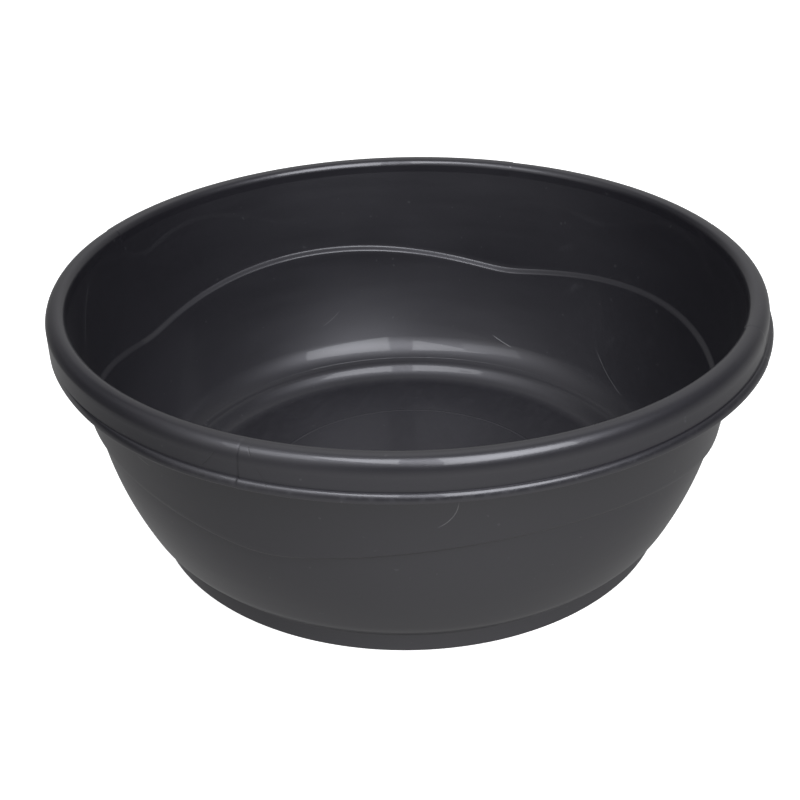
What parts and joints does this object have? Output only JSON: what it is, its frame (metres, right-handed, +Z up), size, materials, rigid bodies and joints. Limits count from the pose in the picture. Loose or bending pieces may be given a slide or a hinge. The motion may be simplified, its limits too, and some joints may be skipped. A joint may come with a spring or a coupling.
{
  "type": "mortar mixing tub",
  "caption": "Round open plastic mixing tub with a flared wall, a wavy step around it, a rolled rim with a small outward lip, a rounded heel and a low foot ring.",
  "frame": {"origin": "centre of the base, on the ground plane the foot ring stands on", "axes": "+Z up along the tub's axis; +X and +Y each pass through a dip of the wavy step and a mould seam of the rim"},
  "size_m": [0.3999, 0.4, 0.1442],
  "materials": {
    "grey_plastic": "satin, dark grey with a faint metallic sheen"
  },
  "bodies": {
    "root": {"floor_panel": "grey_plastic", "floor_circle": "grey_plastic", "floor_step": "grey_plastic", "heel": "grey_plastic", "foot_ring": "grey_plastic", "lower_wall": "grey_plastic", "wave_band": "grey_plastic", "upper_wall": "grey_plastic", "rim_bead": "grey_plastic", "rim_skirt": "grey_plastic", "rim_lip": "grey_plastic"}
  },
  "joints": []
}
